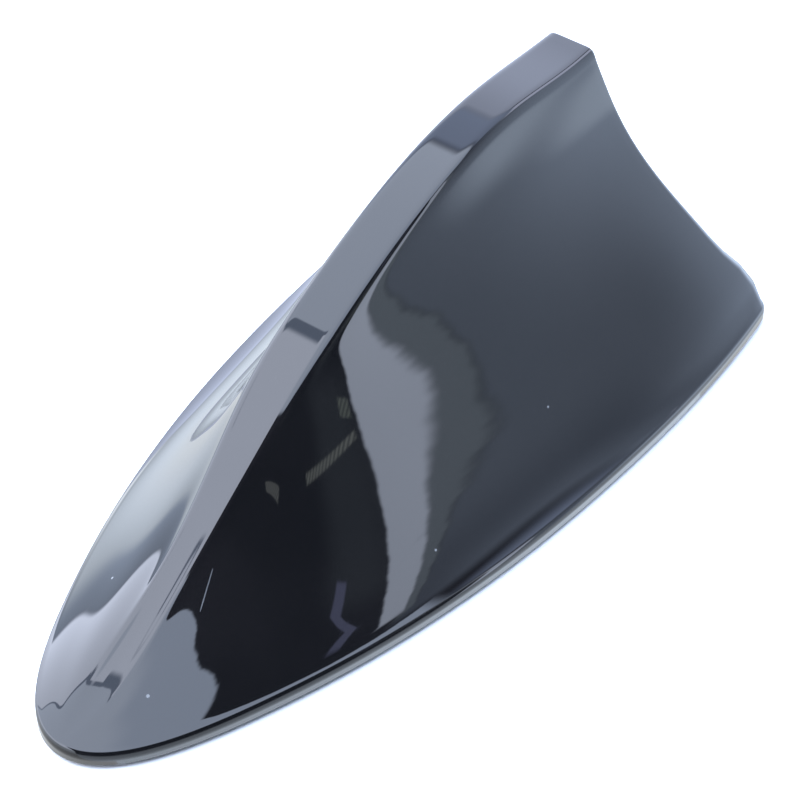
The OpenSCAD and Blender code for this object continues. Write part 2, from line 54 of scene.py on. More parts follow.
# %% Sizes of the cover in millimetres
cover_len, cover_w, cover_h = 165.0, 77.0, 60.94
wall, rim_h, rim_out = 2.2, 3.0, 0.5
tail_lean, ridge_half, edge_soft = 16.5, 5.4, 2.0
tip_round, corner_round, tail_scoop = 0.8, 2.6, 2.4
tape_t, plate_t = 0.8, 2.2
nose_half, nose_run, nose_rise = 10.0, 10.7, 3.1
print("cover:", cover_len, "x", cover_w, "x", cover_h, "mm, wall", wall, "mm")

# %% [markdown]
# ## Sections from tail to nose
# A fin is easiest to describe as a boat is, by a few cross-sections. Each row is one section: its
# place along the length, half width, height, ridge half width, softness of the ridge edge and lean,
# all as shares of the sizes above. The flank's hollow changes along the fin, so each section mixes
# three flank shapes, given as shares of the way out and of the height.

# %% Sections and flank shapes
stations = np.array([
    [0.000, 0.960, 0.970, 0.87, 1.00, 1.00],
    [0.060, 1.000, 0.970, 0.94, 1.00, 0.95],
    [0.170, 1.030, 1.020, 0.83, 1.00, 0.82],
    [0.330, 1.010, 0.965, 0.88, 1.00, 0.62],
    [0.500, 0.945, 0.810, 0.90, 1.00, 0.42],
    [0.647, 0.825, 0.630, 0.96, 1.00, 0.20],
    [0.807, 0.630, 0.265, 0.35, 0.43, 0.00]])
flank_tail = [[0.06, 0.90], [0.25, 0.53], [0.84, 0.21]]
flank_mid = [[0.14, 0.72], [0.40, 0.40], [0.80, 0.03]]
flank_nose = [[0.32, 0.75], [0.61, 0.44], [0.88, 0.21]]
flank_mix = np.array([[1, 0, 0], [1, 0, 0], [0.5, 0.5, 0], [0, 1, 0], [0, 1, 0], [0, 0.7, 0.3], [0, 0, 1]])
flank_sides = np.tensordot(flank_mix, np.array([flank_tail, flank_mid, flank_nose]), 1)
print("sections:", len(stations))

# %% [markdown]
# ## One spline for the whole skin
# A cubic spline with even knots bends without a break in curvature, which is what makes a highlight
# run cleanly along a flank. Each section has nine control points from the ridge line to the rim;
# where three of them stand close together the surface turns sharply, and that is the ridge edge.

# %% Spline weights
net_count = 9


def spline_weights(u, count=net_count):
    """Weights of each control point at u: the cubic basis, built up degree by degree."""
    u = np.clip(np.asarray(u, float), 0, 1 - 1e-9)[..., None]
    knot = np.clip((np.arange(count + 4) - 3)/(count - 3), 0, 1)
    w = ((u >= knot[:-1]) & (u < knot[1:])).astype(float)
    for p in (1, 2, 3):
        rise, fall = knot[p:-1] - knot[:-p - 1], knot[p + 1:] - knot[1:-p]
        up = np.where(rise > 0, (u - knot[:-p - 1])/np.where(rise > 0, rise, 1), 0)
        down = np.where(fall > 0, (knot[p + 1:] - u)/np.where(fall > 0, fall, 1), 0)
        w = up*w[..., :-1] + down*w[..., 1:]
    return w


print("weights half way:", np.round(spline_weights(0.5), 3))

# %% [markdown]
# ## The control net
# Seven sections come from the table above, the eighth shapes the low nose, and the ninth closes it in
# a point. The inner skin uses the same function with every size stepped in by about the wall, so
# both skins bend alike. Offsetting the outer mesh would be shorter, but it folds at the ridge edge.

# %% Control net of a skin
ridge_least, ridge_step, edge_share = 0.6, 0.85, 0.6
flank_drop, under_edge, face_step = 0.012, 0.3, 0.75
nose_step, nose_half_step, nose_rise_step = 1.1, 0.4, 0.3


def leaning(share):
    """Share of the full lean at a share of the height: steep at the rim, level at the ridge."""
    return 1 - (1 - np.clip(share, 0, 1))**1.5


def control_net(t):
    """Nine sections of nine points; t is how far the skin lies under the outer face."""
    rows = []
    tail_steps = [1.0, 0.5, 0, 0, 0, 0, 0]  # only the rear sections make room for the rear wall
    low = rim_h - t/3
    for (at, half, h, r, soft, lean), side, tail_step in zip(stations, flank_sides, tail_steps):
        half = half*(cover_w/2 - rim_out) - t
        h, r = h*cover_h - t, max(ridge_least, r*ridge_half - ridge_step*t)
        e = min(r, soft*edge_soft*(edge_share if t > 0 else 1))
        out = np.column_stack([r + side[:, 0]*(half - r), low + (side[:, 1] - flank_drop*t)*(h - low)])
        top = [[0, h], [(r - e)/2, h], [r - e, h], [r, h], [r + under_edge*e*soft, h - e]]
        yz = np.vstack([top, out, [[half, low]]])
        back = leaning((yz[:, 1] - low)/(h - low))
        inset = tail_step*(t + face_step*tail_scoop if t > 0 else 0)
        x = rim_out + at*(cover_len - 2*rim_out) + inset + lean*tail_lean*back
        rows.append(np.column_stack([x, yz]))
    g, nose_x = np.arange(net_count)/(net_count - 1), cover_len - rim_out - nose_step*t
    up = 1 - g*g
    rows.append(np.column_stack([nose_x - nose_run*up, (nose_half - nose_half_step*t)*g,
        low + (nose_rise - nose_rise_step*t)*up]))
    rows.append(np.tile([nose_x, 0, low], (net_count, 1)))
    return np.array(rows)


net_outer = control_net(0.0)
print("control net:", net_outer.shape[:2], "ridge up to", round(net_outer[:, 0, 2].max(), 1), "mm")

# %% [markdown]
# ## The flare of the tail
# Low down, the real tail reaches further back than the plain loft and stands almost upright at the
# rim. Moving a control point would bend half the tail, so the finished points are moved instead. Each
# goes back by a share of the rear edge's lean, which fades with height and with the way forward.

# %% Flare of the tail
flare_low, flare_high, flare_reach, flare_share = 4.5, 17.0, 30.0, 0.9


def flared(points):
    """Points drawn back by a share of the edge's lean, all of it at the rim, none from 17 mm up."""
    edge_x = tail_lean*leaning((points[..., 2] - rim_h)/(cover_h*stations[0, 2] - rim_h))
    t = np.clip((points[..., 2] - flare_low)/(flare_high - flare_low), 0, 1)
    reach = np.clip(1 - (points[..., 0] - edge_x)/flare_reach, 0, 1)**2
    moved = points.copy()
    moved[..., 0] -= flare_share*edge_x*(1 - t*t*(3 - 2*t))*reach
    return moved


rear_edge = spline_weights(np.linspace(0, 1, 60)) @ net_outer[0]
drawn_back = rear_edge[:, 0] - flared(rear_edge)[:, 0]
print("tail drawn back by up to", round(drawn_back.max(), 2), "mm")

# %% [markdown]
# ## From surface to skin
# The loft is cut across at chosen places, closer together where the ridge edge turns. Only the left
# half is worked out, and its mirror image is set before it. Faces are the quads between neighbours
# of a grid of point numbers, which keeps every surface of this cover to one short function.

# %% Cuts, mirror and quads
top_cuts, side_cuts = 9, 14
top_power, side_power = 1.5, 1.35


def cut_places(fine):
    """Places across a section from 0 at the ridge to 1 at the rim; 1/3 is the ridge edge."""
    top = 1/3*(1 - (1 - np.linspace(0, 1, top_cuts*fine + 1))**top_power)
    side = 1/3 + 2/3*np.linspace(0, 1, side_cuts*fine + 1)**side_power
    return np.concatenate([top, side[1:]]), top_cuts*fine


def mirrored(rows):
    """Rows from ridge to rim with their mirror image before them, so that they run rim to rim."""
    return np.concatenate([rows[:, :0:-1]*[1, -1, 1], rows], axis=1)


def quads_of(grid):
    """The quads between neighbouring rows and columns of a grid of point numbers."""
    corners = [grid[:-1, :-1], grid[:-1, 1:], grid[1:, 1:], grid[1:, :-1]]
    return np.stack(corners, axis=-1).reshape(-1, 4).tolist()


print("a grid of 3 by 4 points has", len(quads_of(np.arange(12).reshape(3, 4))), "quads")

# %% [markdown]
# ## Joining loft, rear and rim
# Loft, rear roll and rear face share the points of their borders, so the skin has no seam that could
# open or catch the light. The rear face spans the last row of the roll. A band drops from the rim to
# the flat underside, and it is pushed out along the normal of the outline seen from above.

# %% Joining loft, rear and rim
def join_skin(loft, nose, rolled, face, top, rim_band):
    """Mirrors the half rows, numbers all points and lists the faces between neighbours."""
    full, turned = mirrored(loft), mirrored(rolled)
    cols, last = full.shape[1], loft.shape[1] - 1
    points = np.concatenate([full.reshape(-1, 3), [nose], turned.reshape(-1, 3), face.reshape(-1, 3)])
    loft_id = np.arange(full.shape[0]*cols).reshape(-1, cols)
    nose_id = loft_id.size
    turned_id = nose_id + 1 + np.arange(turned.shape[0]*cols).reshape(-1, cols)
    edge_id = np.vstack([loft_id[:1], turned_id])
    face_id = edge_id.max() + 1 + np.arange(face.shape[0]*face.shape[1]).reshape(face.shape[:2])
    ring = edge_id[-1]
    rear_rows = np.column_stack([ring[last - top - 1::-1], face_id, ring[last + top + 1:]])
    rear_id = np.vstack([ring[last - top:last + top + 1], rear_rows])
    rim = np.concatenate([[nose_id], loft_id[::-1, -1], edge_id[1:, -1], face_id[-1, ::-1],
        edge_id[:0:-1, 0], loft_id[:, 0]])
    plan = points[rim][:, :2]
    d = np.roll(plan, 1, axis=0) - np.roll(plan, -1, axis=0)
    out = np.column_stack([-d[:, 1], d[:, 0]])/np.linalg.norm(d, axis=1, keepdims=True)
    rim_rows, band_points = [rim], []
    for push, z in rim_band:
        rim_rows.append(len(points) + len(band_points)*len(rim) + np.arange(len(rim)))
        band_points.append(np.column_stack([plan + push*out, np.full(len(rim), z)]))
    points = np.concatenate([points] + band_points)
    rim_grid = np.vstack(rim_rows)
    rim_grid = np.column_stack([rim_grid, rim_grid[:, :1]])
    faces = quads_of(loft_id) + quads_of(edge_id[::-1]) + quads_of(rear_id[::-1]) + quads_of(rim_grid)
    fan = np.column_stack([loft_id[-1, :-1], loft_id[-1, 1:], np.full(cols - 1, nose_id)])
    return points, faces + fan.tolist(), rim_rows[-1]


print("joining ready")

# %% [markdown]
# ## The rolled rear edge
# The rear end rolls over into the scooped tail face: a crisp edge at the tip that grows to a soft one
# at the rim. A bevel has one width and would pinch at the tip, so the roll is worked out as a curve
# from the flank through the sharp corner to the rear face. It meets both without a crease.

# %% Points of a skin
near_tail, row_power, rim_zone = 0.02, 1.6, 0.21
roll_step, roll_least = 0.6, 0.3
scoop_reach, scoop_start, scoop_lean = 1.05, 0.02, 0.6


def skin_points(t, rows, fine, edge_rows, rim_band):
    """The loft at rows and cuts, a quadratic curve for the roll, and a sine for the rear's hollow."""
    v, top = cut_places(fine)
    net, wv = control_net(t), spline_weights(v)
    sharp = wv @ net[0]
    near = wv @ np.tensordot(spline_weights(near_tail), net, 1)
    depth = np.clip(1 - (sharp[:, 2] - rim_h)/(cover_h - rim_h), 0, None)
    roll = np.clip(tip_round + (corner_round - tip_round)*depth**3 - roll_step*t, roll_least, None)
    first = near_tail*roll/np.linalg.norm(near - sharp, axis=1)
    along = 1 - (1 - np.arange(rows)/rows)**row_power
    u = first + (1 - first)*along[:, None]
    loft = np.einsum("rji,ijk->rjk", spline_weights(u), np.einsum("jm,imk->ijk", wv, net))
    turn = np.gradient(sharp[:, 1:], axis=0)
    turn /= np.linalg.norm(turn, axis=1, keepdims=True)
    inner = sharp.copy()
    side = np.arange(len(v)) >= top
    inner[:, 1] = np.where(side, sharp[:, 1] + roll*turn[:, 1], sharp[:, 1]*(1 - roll/sharp[top, 1]))
    inner[:, 1] = np.clip(inner[:, 1], 0, None)
    inner[:, 2] -= roll*turn[:, 0]*np.clip((1 - v)/rim_zone, 0, 1)
    f = np.arange(1, edge_rows + 1)[:, None, None]/edge_rows
    rolled = loft[0]*(1 - f)**2 + sharp*2*f*(1 - f) + inner*f**2
    q = ((v[top + 1:] - v[top])/(1 - v[top]))[:, None]
    share = inner[:top, 1]/inner[top, 1]
    share = np.concatenate([-share[:0:-1], share])
    hollow = tail_scoop*np.sin(np.pi*np.minimum(1, q*scoop_reach + scoop_start)) + scoop_lean*q
    edge = inner[top + 1:]
    face = np.stack([edge[:, :1] + hollow*(1 - share**2), edge[:, 1:2]*share,
        edge[:, 2:] + 0*share], axis=2)
    return join_skin(flared(loft), net[-1, 0], flared(rolled), flared(face), top, rim_band)


print("skin ready")

# %% [markdown]
# ## The outer skin
# A foot band with a rolled upper edge runs round the cover, as the mould leaves it. Its profile is a
# quarter turn and a straight drop. The rows and cuts are set so close that no facet shows in a
# highlight, and they crowd together at the tail, where the skin bends most.

# %% The outer skin
skin_rows, skin_fine, roll_rows = 130, 3, 10
band_drop, bend_steps = 1.3, 7
bend = np.linspace(0, np.pi/2, bend_steps)[1:]
outer_band = [(rim_out*math.sin(a), rim_h - band_drop*(1 - math.cos(a))) for a in bend] + [(rim_out, 0)]
outer, outer_faces, outer_rim = skin_points(0.0, skin_rows, skin_fine, roll_rows, outer_band)
print("outer skin:", len(outer), "points,", len(outer_faces), "faces")

# %% [markdown]
# ## Closing the wall
# A moulded cover has a wall of even thickness. The inner skin follows the same sections a wall's
# thickness further in, its faces point the other way, and a narrow flat rim joins the two skins.

# %% The inner skin and the flat rim
inner_drop = 0.4
inner_band = [(0, rim_h - wall/3 - inner_drop), (0, 0)]
inner, inner_faces, inner_rim = skin_points(wall, skin_rows, skin_fine, roll_rows, inner_band)
shift = len(outer)
under = np.stack([outer_rim, np.roll(outer_rim, -1), np.roll(inner_rim, -1) + shift,
    inner_rim + shift], axis=1)
cover_points = [outer, inner]
cover_faces = outer_faces + [[i + shift for i in f[::-1]] for f in inner_faces] + under.tolist()
print("two skins:", len(outer) + len(inner), "points")

# %% [markdown]
# ## Bosses inside
# Four hollow bosses take the cover screws. They are moulded in one with the cover, so they join its
# mesh, and each runs up until it is inside the wall. A boolean could fuse them, but it would cut the
# smooth skin into slivers. A boss is a profile of rings turned about its axis.

# %% Bosses
boss_r, pilot_r, pilot_len, pilot_tip, axis_r = 3.2, 1.3, 7.0, 0.4, 0.01
pad_h, outer_share = 1.2, 0.4
pad_top = plate_t + pad_h
boss_places = [(28.0, 23.0), (28.0, -23.0), (113.0, 17.5), (113.0, -17.5)]


def mid_wall(x, y):
    """Height inside the wall over the plan points x, y: a mean of the nearest points of each skin."""
    spots = np.stack(np.broadcast_arrays(x, y), axis=-1).reshape(-1, 2)
    heights = []
    for skin in (outer, inner):
        upper = skin[skin[:, 2] > rim_h]
        gap = ((upper[None, :, :2] - spots[:, None])**2).sum(axis=2)
        heights.append(upper[gap.argmin(axis=1), 2])
    return outer_share*heights[0] + (1 - outer_share)*heights[1]


def boss(x, y, sides=48):
    """Rings by radius and height: down the outside, across the pad, up the pilot to its point."""
    turn = np.linspace(0, 2*np.pi, sides, endpoint=False)
    wall_z = mid_wall(x + boss_r*np.cos(turn), y + boss_r*np.sin(turn)).min()
    rings = [(axis_r, wall_z), (boss_r, wall_z), (boss_r, pad_top), (pilot_r, pad_top),
        (pilot_r, pad_top + pilot_len), (axis_r, pad_top + pilot_len + pilot_tip)]
    points = np.concatenate([np.column_stack([x + r*np.cos(turn), y + r*np.sin(turn),
        np.full(sides, z)]) for r, z in rings])
    grid = np.arange(len(rings)*sides).reshape(-1, sides)
    grid = np.column_stack([grid, grid[:, :1]])
    caps = [list(range(sides)), list(range(len(points) - 1, len(points) - sides - 1, -1))]
    return points, quads_of(grid.T) + caps


bosses = [boss(x, y) for x, y in boss_places]
print("bosses up to", [round(points[:, 2].max(), 1) for points, faces in bosses], "mm")

# %% [markdown]
# ## Ribs inside
# Two thin ribs stiffen the cavity. A rib's upper edge follows the inner skin, so its height is read
# from the two skins at each place across. It is a closed plate of four rows of points.

# %% Ribs
rib_t, rib_low, rib_places = 1.4, 12.2, [10.0, 122.2]
rib_near, rib_above, rib_gap = 3.0, 1.0, 0.5


def rib(x, cols=40):
    """A plate across the cavity: low and high rows at x, and the same a rib's thickness further."""
    upper = inner[(np.abs(inner[:, 0] - x) < rib_near) & (inner[:, 2] > rib_low + rib_above)]
    y = np.linspace(-1, 1, cols)*(np.abs(upper[:, 1]).max() - rib_gap)
    low, high = np.full(cols, rib_low), mid_wall(np.full(cols, x + rib_t/2), y)
    rows = [np.column_stack([np.full(cols, x + dx), y, z]) for dx, z in
        ((0, low), (0, high), (rib_t, high), (rib_t, low))]
    grid = np.arange(4*cols).reshape(4, cols)
    ends = [grid[:, 0].tolist(), grid[::-1, -1].tolist()]
    return np.concatenate(rows), quads_of(np.vstack([grid, grid[:1]])) + ends


ribs = [rib(x) for x in rib_places]
print("ribs up to", [round(points[:, 2].max(), 1) for points, faces in ribs], "mm")

# %% [markdown]
# ## The cover as one mesh
# All parts of the moulding go into one mesh, whose points are put straight into the shared frame. The
# object stays at the origin, unturned, so that a pattern on Object coordinates stays where it is. It
# takes the place of the solid cover, rides on the one body, and has one slot.

# %% The cover as one mesh
def place(points):
    """From the cover's own millimetres to the shared frame in metres."""
    return (np.asarray(points, float) + [-cover_len/2, 0, tape_t])*MM


def shell_mesh(name, points, faces):
    """A smooth-shaded mesh object at the origin with its place in its points."""
    mesh = bpy.data.meshes.new(name)
    mesh.from_pydata(place(points).tolist(), [], faces)
    mesh.validate()
    mesh.polygons.foreach_set("use_smooth", np.ones(len(mesh.polygons), bool))
    piece = bpy.data.objects.new(name, mesh)
    bpy.context.scene.collection.objects.link(piece)
    return piece


for more, more_faces in bosses + ribs:
    shift = sum(len(part) for part in cover_points)
    cover_points.append(more)
    cover_faces += [[i + shift for i in f] for f in more_faces]
cover = shell_mesh("gloss_cover", np.vstack(cover_points), cover_faces)
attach(cover, "root")
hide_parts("cover")
print("cover:", len(cover.data.polygons), "faces, box", np.round(np.ptp(place(outer), axis=0)*1000, 2))

# %% [markdown]
# ## Shader maths as plain expressions
# A finish is built from masks and mixes. Written as nodes that is long, so a small class wraps a
# socket and turns +, -, *, / and ** into Math nodes, also with the plain number first. Every other
# node comes from one method, which sets the node's settings first and then feeds its sockets.

# %% A socket that can be added and multiplied
class Wire:
    """A shader socket that takes part in Python expressions."""

    def __init__(self, tree, socket):
        self.tree, self.socket = tree, socket

    def node(self, kind, settings=None, values=(), out=0):
        """A node of that type; values feed its sockets by order, or by name or number in a dict."""
        made = self.tree.nodes.new(kind)
        for key, value in (settings or {}).items():
            setattr(made, key, value)
        pairs = values.items() if isinstance(values, dict) else enumerate(values)
        for key, value in pairs:
            if isinstance(value, Wire):
                self.tree.links.new(value.socket, made.inputs[key])
            else:
                made.inputs[key].default_value = value
        return Wire(self.tree, made.outputs[out])

    def math(self, kind, other=None, swap=False):
        """A Math node of this socket and, where given, another value; swap puts the other first."""
        values = [self] if other is None else [self, other]
        return self.node("ShaderNodeMath", {"operation": kind}, values[::-1] if swap else values)

    def __add__(self, o): return self.math("ADD", o)
    def __radd__(self, o): return self.math("ADD", o)
    def __sub__(self, o): return self.math("SUBTRACT", o)
    def __rsub__(self, o): return self.math("SUBTRACT", o, swap=True)
    def __mul__(self, o): return self.math("MULTIPLY", o)
    def __rmul__(self, o): return self.math("MULTIPLY", o)
    def __truediv__(self, o): return self.math("DIVIDE", o)
    def __rtruediv__(self, o): return self.math("DIVIDE", o, swap=True)
    def __pow__(self, o): return self.math("POWER", o)
    def __rpow__(self, o): return self.math("POWER", o, swap=True)

    def clamp(self):
        """No less than 0 and no more than 1."""
        return self.math("MAXIMUM", 0.0).math("MINIMUM", 1.0)

    def ramp(self, low, high):
        """0 below low, 1 above high, with soft ends."""
        return self.node("ShaderNodeMapRange", {"interpolation_type": "SMOOTHSTEP"},
            [self, low, high, 0.0, 1.0])

    def mix(self, first, second):
        """A colour between first and second, with this socket as the factor."""
        first, second = (c if isinstance(c, Wire) else (*c, 1) for c in (first, second))
        return self.node("ShaderNodeMix", {"data_type": "RGBA"}, {0: self, 6: first, 7: second}, out=2)


print("wires ready")

# %% [markdown]
# ## Masks and patterns that every finish shares
# Each finish starts from a place on the part. A band or a fall turns a measure into a mask, noise
# breaks up what would look too even, and a bump tilts the surface without adding faces. As small
# functions they keep the finishes short, and each finish then reads like a recipe.

# %% Materials, masks and patterns
def finish_of(name, roughness=0.5, metallic=0.0):
    """A new material: returns it, its shader node and the wire of Object coordinates."""
    made = bpy.data.materials.new(name)
    made.use_nodes = True
    shader = made.node_tree.nodes["Principled BSDF"]
    shader.inputs["Roughness"].default_value = roughness
    shader.inputs["Metallic"].default_value = metallic
    shader.inputs["IOR"].default_value = 1.5
    coords = made.node_tree.nodes.new("ShaderNodeTexCoord")
    return made, shader, Wire(made.node_tree, coords.outputs["Object"])


def feed(shader, **wires):
    """Links wires to the shader's sockets; underscores stand for spaces."""
    for key, wire in wires.items():
        wire.tree.links.new(wire.socket, shader.inputs[key.replace("_", " ")])


def band(value, low, high, soft):
    """1 between low and high, with edges that are soft wide."""
    return value.ramp(low - soft/2, low + soft/2)*(1.0 - value.ramp(high - soft/2, high + soft/2))


def falls(value, low, high):
    """1 below low, 0 above high."""
    return 1.0 - value.ramp(low, high)


def noise(spot, scale, detail=3.0, rough=0.5):
    """Soft random values around 0.5; scale is in features a metre."""
    return spot.node("ShaderNodeTexNoise", {}, {"Vector": spot, "Scale": scale, "Detail": detail,
        "Roughness": rough})


def cells(spot, scale, out=0):
    """Cells a metre by scale: output 0 is the distance from a cell's point, 1 its random colour."""
    return spot.node("ShaderNodeTexVoronoi", {"feature": "F1"}, {"Vector": spot, "Scale": scale}, out)


def bumped(spot, height, strength, depth):
    """A Bump node's normal for a height wire; depth is in metres."""
    return spot.node("ShaderNodeBump", {}, {"Strength": strength, "Distance": depth, "Height": height})


def stretched(spot, scale, turned=(0, 0, 0)):
    """The place with each axis scaled on its own, for brushed or drawn marks."""
    return spot.node("ShaderNodeMapping", {}, {"Vector": spot, "Rotation": turned, "Scale": scale})


def coordinates(spot):
    """The three coordinates of a place as wires."""
    parts = spot.node("ShaderNodeSeparateXYZ", {}, [spot]).socket.node
    return [Wire(spot.tree, socket) for socket in parts.outputs]


print("shader helpers ready")

# %% [markdown]
# ## Specks and a scratch in their places
# A few dust specks and one hairline scratch show on the real cover. Painted on a picture they would
# blur close up, so they are measured: a speck is all that lies within a size of its place, and the
# scratch is a very thin ellipse, the places whose ways to both its ends add up to hardly more than
# its length. The places are in the cover's own millimetres.

# %% Specks and scratch
dust_specks = [((150.6, 7.6, 6.9), 0.40), ((135.8, -12.6, 10.0), 0.32), ((95.8, 26.9, 7.8), 0.30),
    ((59.9, 25.8, 14.1), 0.30)]
scratch_ends = [(129.79, 5.24, 18.61), (135.68, 6.97, 14.0)]
scratch_len = math.dist(*scratch_ends)
scratch_core, scratch_edge = 1.0003, 1.0012


def distance_to(spot, place_mm):
    """Distance in metres from a point of the cover given in the cover's own millimetres."""
    target = tuple(float(v) for v in place([place_mm])[0])
    return spot.node("ShaderNodeVectorMath", {"operation": "DISTANCE"}, [spot, target], out=1)


print("specks:", len(dust_specks), "scratch:", round(scratch_len, 1), "mm")

# %% [markdown]
# ## The gloss of the cover
# The cover is moulded in black plastic and left glossy, so nearly all that is seen is reflection. The
# finish needs a nearly black base, a low roughness, and the small faults that tell plastic from glass:
# a faint waviness of the mould, the specks and the scratch, finer dust and fine wipe marks.

# %% Gloss plastic
black_deep, black_pale, dust_tone = (0.0038, 0.0034, 0.0036), (0.0052, 0.0046, 0.0048), (0.14, 0.145, 0.15)
gloss, shader, spot = finish_of("gloss_cover", roughness=0.03)
cloud = noise(spot, 35.0)
tone = cloud.ramp(0.35, 0.65).mix(black_deep, black_pale)
dust = falls(cells(spot, 95.0), 0.012, 0.024)*noise(spot, 60.0, 1.0).ramp(0.60, 0.64)
for speck_at, size in dust_specks:
    dust = dust.math("MAXIMUM", falls(distance_to(spot, speck_at), size*0.5*MM, size*MM))
wipes = noise(stretched(spot, (60.0, 1500.0, 500.0), (0.3, 0.5, 0.9)), 1.0, 2.0)
wipes = wipes.ramp(0.68, 0.74)*noise(spot, 28.0, 1.0).ramp(0.54, 0.64)
both_ways = distance_to(spot, scratch_ends[0]) + distance_to(spot, scratch_ends[1])
scratch = falls(both_ways, scratch_len*MM*scratch_core, scratch_len*MM*scratch_edge)
feed(shader, Base_Color=(dust + scratch*0.5).clamp().mix(tone, dust_tone))
feed(shader, Roughness=(0.018 + cloud*0.016 + dust*0.4 + scratch*0.3 + wipes*0.05).clamp())
wave = noise(spot, 90.0, 1.0, 0.3)
feed(shader, Normal=bumped(spot, wave*0.5 + dust*0.5 + scratch*0.4 + wipes*0.02, 0.12, 0.00003))
cover.data.materials.append(gloss)
print("cover finish:", len(gloss.node_tree.nodes), "nodes")

# %% [markdown]
# ## Grained plastic of the base
# The base plate and the cable clamp are a matte moulding with a fine grain, flow marks and a few
# rubbed spots. They are CAD solids whose shape is right, so they only get a finish, through the
# material slots that they already have. The grain is noise in a bump, because as true faces it
# would need millions of them.

# %% Base plastic
def dress(finish, *names):
    """Gives a finish to CAD nodes through their own material slots."""
    for name in names:
        for slot in nodes[name].material_slots:
            slot.material = finish
    print(finish.name, "on", ", ".join(names))


plastic_dark, plastic_rubbed = (0.016, 0.0165, 0.018), (0.036, 0.037, 0.040)
finish, shader, spot = finish_of("base_plastic", roughness=0.6)
grain, flow = noise(spot, 2600.0, 2.0), noise(stretched(spot, (30.0, 120.0, 60.0)), 1.0, 3.0)
rub = noise(spot, 90.0, 4.0).ramp(0.60, 0.72)
feed(shader, Base_Color=(flow*0.7 + rub*0.5).clamp().mix(plastic_dark, plastic_rubbed))
feed(shader, Roughness=(0.5 + grain*0.18 - rub*0.14).clamp())
feed(shader, Normal=bumped(spot, grain + flow*0.2, 0.35, 0.00004))
dress(finish, "base_plate", "cable_clamp")

# %% [markdown]
# ## Rubber of the seal and the grommet
# Both are soft black rubber with a dull bloom of dust. Rubber looks flat when its roughness is even,
# so one noise drives both the pale bloom and the roughness, and a finer one gives the skin.

# %% Seal rubber
rubber_black, rubber_bloom = (0.010, 0.010, 0.011), (0.035, 0.035, 0.036)
finish, shader, spot = finish_of("seal_rubber", roughness=0.8)
bloom, skin = noise(spot, 160.0, 4.0), noise(spot, 3500.0, 2.0)
feed(shader, Base_Color=bloom.ramp(0.45, 0.75).mix(rubber_black, rubber_bloom))
feed(shader, Roughness=(0.66 + bloom*0.25).clamp())
feed(shader, Normal=bumped(spot, skin + bloom*0.3, 0.3, 0.00003))
dress(finish, "foot_seal", "cable_grommet")

# %% [markdown]
# ## Foam of the tape and the pad
# Grey closed-cell foam shows small pores at its cut edges, which a cell pattern gives at once. The
# lowest tenth of a millimetre is the glue side: the same foam, but shinier and smoother.

# %% Foam tape
foam_dark, foam_pale, glue_top = (0.070, 0.072, 0.076), (0.17, 0.172, 0.175), 0.0001
finish, shader, spot = finish_of("foam_tape", roughness=0.85)
pores, shade = cells(spot, 2200.0), noise(spot, 45.0, 3.0)
glue = falls(coordinates(spot)[2], 0.4*glue_top, glue_top)
feed(shader, Base_Color=(shade*0.7 + pores*0.3).clamp().mix(foam_dark, foam_pale))
feed(shader, Roughness=(0.88 - glue*0.5 + shade*0.05).clamp())
feed(shader, Normal=bumped(spot, pores*(1.0 - glue*0.7), 0.5, 0.00006))
dress(finish, "adhesive_tape", "ridge_pad")

# %% [markdown]
# ## Nylon of the former
# The coil former is natural nylon, milky and a little waxy. Light scattered inside would show only on
# a thin edge close up, so two near tones that melt into each other are enough.

# %% Former plastic
nylon_warm, nylon_pale = (0.58, 0.55, 0.47), (0.74, 0.72, 0.65)
finish, shader, spot = finish_of("former_plastic", roughness=0.42)
milk, fine = noise(spot, 120.0, 3.0), noise(spot, 1800.0, 2.0)
feed(shader, Base_Color=milk.mix(nylon_warm, nylon_pale))
feed(shader, Roughness=(0.32 + milk*0.2).clamp())
feed(shader, Normal=bumped(spot, fine + milk*0.4, 0.2, 0.00003))
dress(finish, "coil_former")

# %% [markdown]
# ## The board
# The board has a green solder mask over copper tracks, bare tan edges and tinned rings round its
# screw holes. The copper is far too thin to model, so sines of the place draw the tracks and a bump
# lifts them. The masks come from the place on the part, so the pattern stays with the part.

# %% Board
board_x, board_len, board_w, board_top = 68.0, 42.0, 24.0, 7.0
hole_inset, hole_r, ring_r, bare_edge = 3.5, 1.5, 2.9, 0.12
board_holes = [(hole_inset, -board_w/2 + hole_inset), (board_len - hole_inset, board_w/2 - hole_inset)]
mask_dark, mask_pale, mask_on_copper = (0.008, 0.075, 0.030), (0.018, 0.120, 0.050), (0.035, 0.190, 0.070)
bare_board, ring_tin = (0.42, 0.33, 0.17), (0.66, 0.65, 0.62)
finish, shader, spot = finish_of("board", roughness=0.35)
x, y, z = coordinates(spot)
x, y = (x/MM + cover_len/2 - board_x), y/MM
lane = (x*0.9 + (y*0.8).math("SINE")*1.2).math("SINE")
track = falls(lane.math("ABSOLUTE"), 0.10, 0.20)*band(y, -9.0, 9.5, 0.2)
cross = falls((y*1.1 + 0.4).math("SINE").math("ABSOLUTE"), 0.10, 0.18)*band(x, 4.0, 36.0, 0.3)
copper = (track + cross*noise(spot, 220.0, 0.0).ramp(0.48, 0.52)).clamp()
inside = band(x, bare_edge, board_len - bare_edge, 0.1)*band(y, -board_w/2 + bare_edge,
    board_w/2 - bare_edge, 0.1)
aways = [((x - hole_x)**2.0 + (y - hole_y)**2.0)**0.5 for hole_x, hole_y in board_holes]
ring = (band(aways[0], hole_r, ring_r, 0.1) + band(aways[1], hole_r, ring_r, 0.1)).clamp()*inside
stain = noise(spot, 180.0, 4.0)
mask_tone = copper.mix(stain.mix(mask_dark, mask_pale), mask_on_copper)
feed(shader, Base_Color=ring.mix(inside.mix(bare_board, mask_tone), ring_tin))
